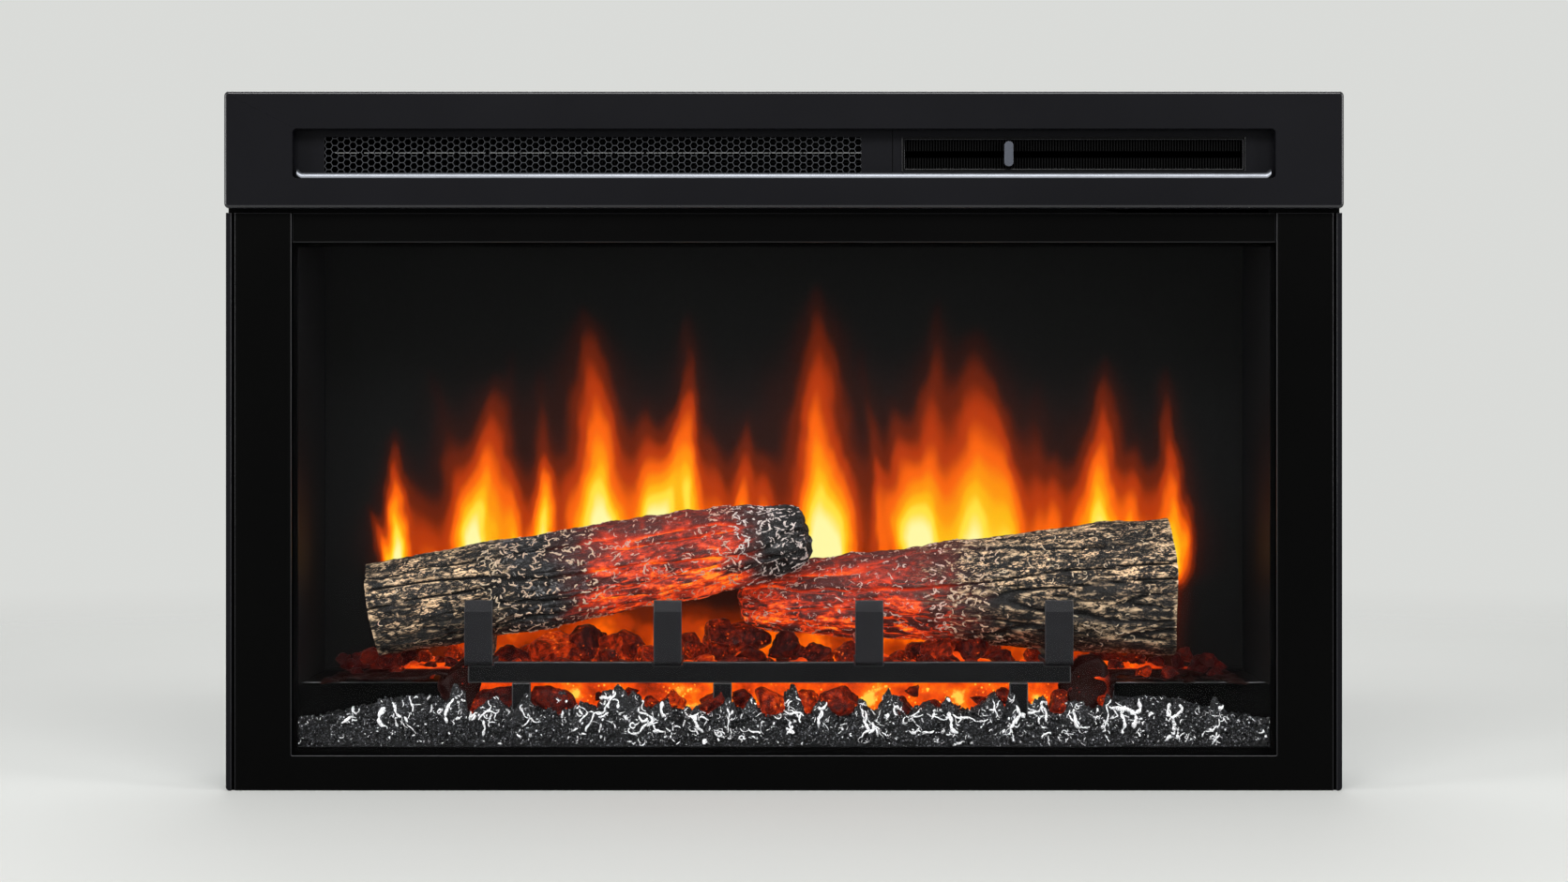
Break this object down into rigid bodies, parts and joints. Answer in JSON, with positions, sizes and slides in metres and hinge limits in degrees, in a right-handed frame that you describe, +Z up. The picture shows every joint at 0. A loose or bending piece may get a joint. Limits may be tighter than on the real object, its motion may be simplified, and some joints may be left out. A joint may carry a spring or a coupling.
{
  "type": "electric fireplace insert",
  "caption": "Electric fireplace insert with a slotted head panel, glazed firebox, log and ember fuel bed on a grate, flame-effect rear screen and fan heater.",
  "frame": {"origin": "middle of the insert's footprint, at the height of its underside", "axes": "+X to the right as seen from the front, +Y towards the rear panel, +Z up; the front faces -Y"},
  "size_m": [0.842, 0.22, 0.527],
  "materials": {
    "powder_coat": "satin black powder coat, head panel, trims and slot panels",
    "frame_coat": "matt black powder coat on the frame, header and carrier",
    "firebox_paint": "matt heat-proof black paint",
    "zinc_steel": "galvanised sheet with a dull spangle",
    "bright_aluminium": "bright anodised edge lip",
    "grille_steel": "dark expanded hexagon mesh with lighter strands",
    "grate_black": "matt black flat bar",
    "clear_glass": "clear toughened glass",
    "gasket_fibre": "black glass-fibre gasket",
    "screen_plastic": "dark diffusing screen lit from behind by the flame effect",
    "ember_plastic": "translucent moulded embers lit from below, dark red to yellow",
    "cinder_stone": "charcoal cinders and fine gravel with white ash edges",
    "log_resin": "cast log with painted bark, pale ash flecks and a glowing char zone",
    "black_plastic": "matt black moulded plastic",
    "knob_plastic": "satin grey slider with a lighter rim",
    "reflector_foil": "bright reflector foil",
    "board_green": "green circuit board with parts on it",
    "motor_steel": "dull lamination steel",
    "bush_brass": "sintered bush"
  },
  "bodies": {
    "cabinet": {"front_carrier": "frame_coat", "cabinet_wrap": "zinc_steel", "base_pan": "zinc_steel", "rear_panel": "zinc_steel", "head_panel": "powder_coat", "slot_lip": "bright_aluminium", "vent_panel": "powder_coat", "control_panel": "powder_coat", "control_bezel": "black_plastic", "outlet_grille": "grille_steel", "ribbed_track": "black_plastic", "slide_control_body": "black_plastic", "front_frame": "frame_coat", "side_trim_left": "powder_coat", "side_trim_right": "powder_coat", "glass_header": "frame_coat", "front_glass": "clear_glass", "glass_gasket": "gasket_fibre", "glass_support_left": "gasket_fibre", "glass_support_right": "gasket_fibre", "firebox_ring": "firebox_paint", "firebox_ceiling": "firebox_paint", "firebox_side_left": "firebox_paint", "firebox_side_right": "firebox_paint", "cinder_tray": "firebox_paint", "ledge_panel": "firebox_paint", "grate_bar": "grate_black", "grate_upright_1": "grate_black", "grate_upright_2": "grate_black", "grate_upright_3": "grate_black", "grate_upright_4": "grate_black", "grate_leg_1": "grate_black", "grate_leg_2": "grate_black", "grate_leg_3": "grate_black", "log_left": "log_resin", "log_right": "log_resin", "ember_bed": "ember_plastic", "cinder_bed": "cinder_stone", "flame_screen": "screen_plastic", "screen_retainer": "firebox_paint", "flame_reflector": "reflector_foil", "flicker_bracket_left": "zinc_steel", "flicker_bracket_right": "zinc_steel", "flicker_motor": "motor_steel", "flame_led_board": "board_green", "ember_led_board": "board_green", "heater_housing": "zinc_steel", "blower_bush": "bush_brass", "blower_motor": "motor_steel", "heating_element": "motor_steel", "thermal_cutout": "black_plastic", "control_board": "board_green", "cable_gland": "black_plastic", "terminal_block": "black_plastic"},
    "slider": {"control_slider": "knob_plastic"},
    "blower": {"blower_drum": "black_plastic"},
    "flicker": {"flicker_rod": "reflector_foil"}
  },
  "joints": [
    {"name": "control_slide", "type": "slide", "parent": "cabinet", "child": "slider", "axis": [1, 0, 0], "range_m": [-0.072, 0.17]},
    {"name": "blower_spin", "type": "hinge", "parent": "cabinet", "child": "blower", "pos_m": [-0.14445, -0.0305, 0.4625], "axis": [1, 0, 0], "continuous": true},
    {"name": "flicker_spin", "type": "hinge", "parent": "cabinet", "child": "flicker", "pos_m": [0, 0.074, 0.07], "axis": [1, 0, 0], "continuous": true}
  ]
}
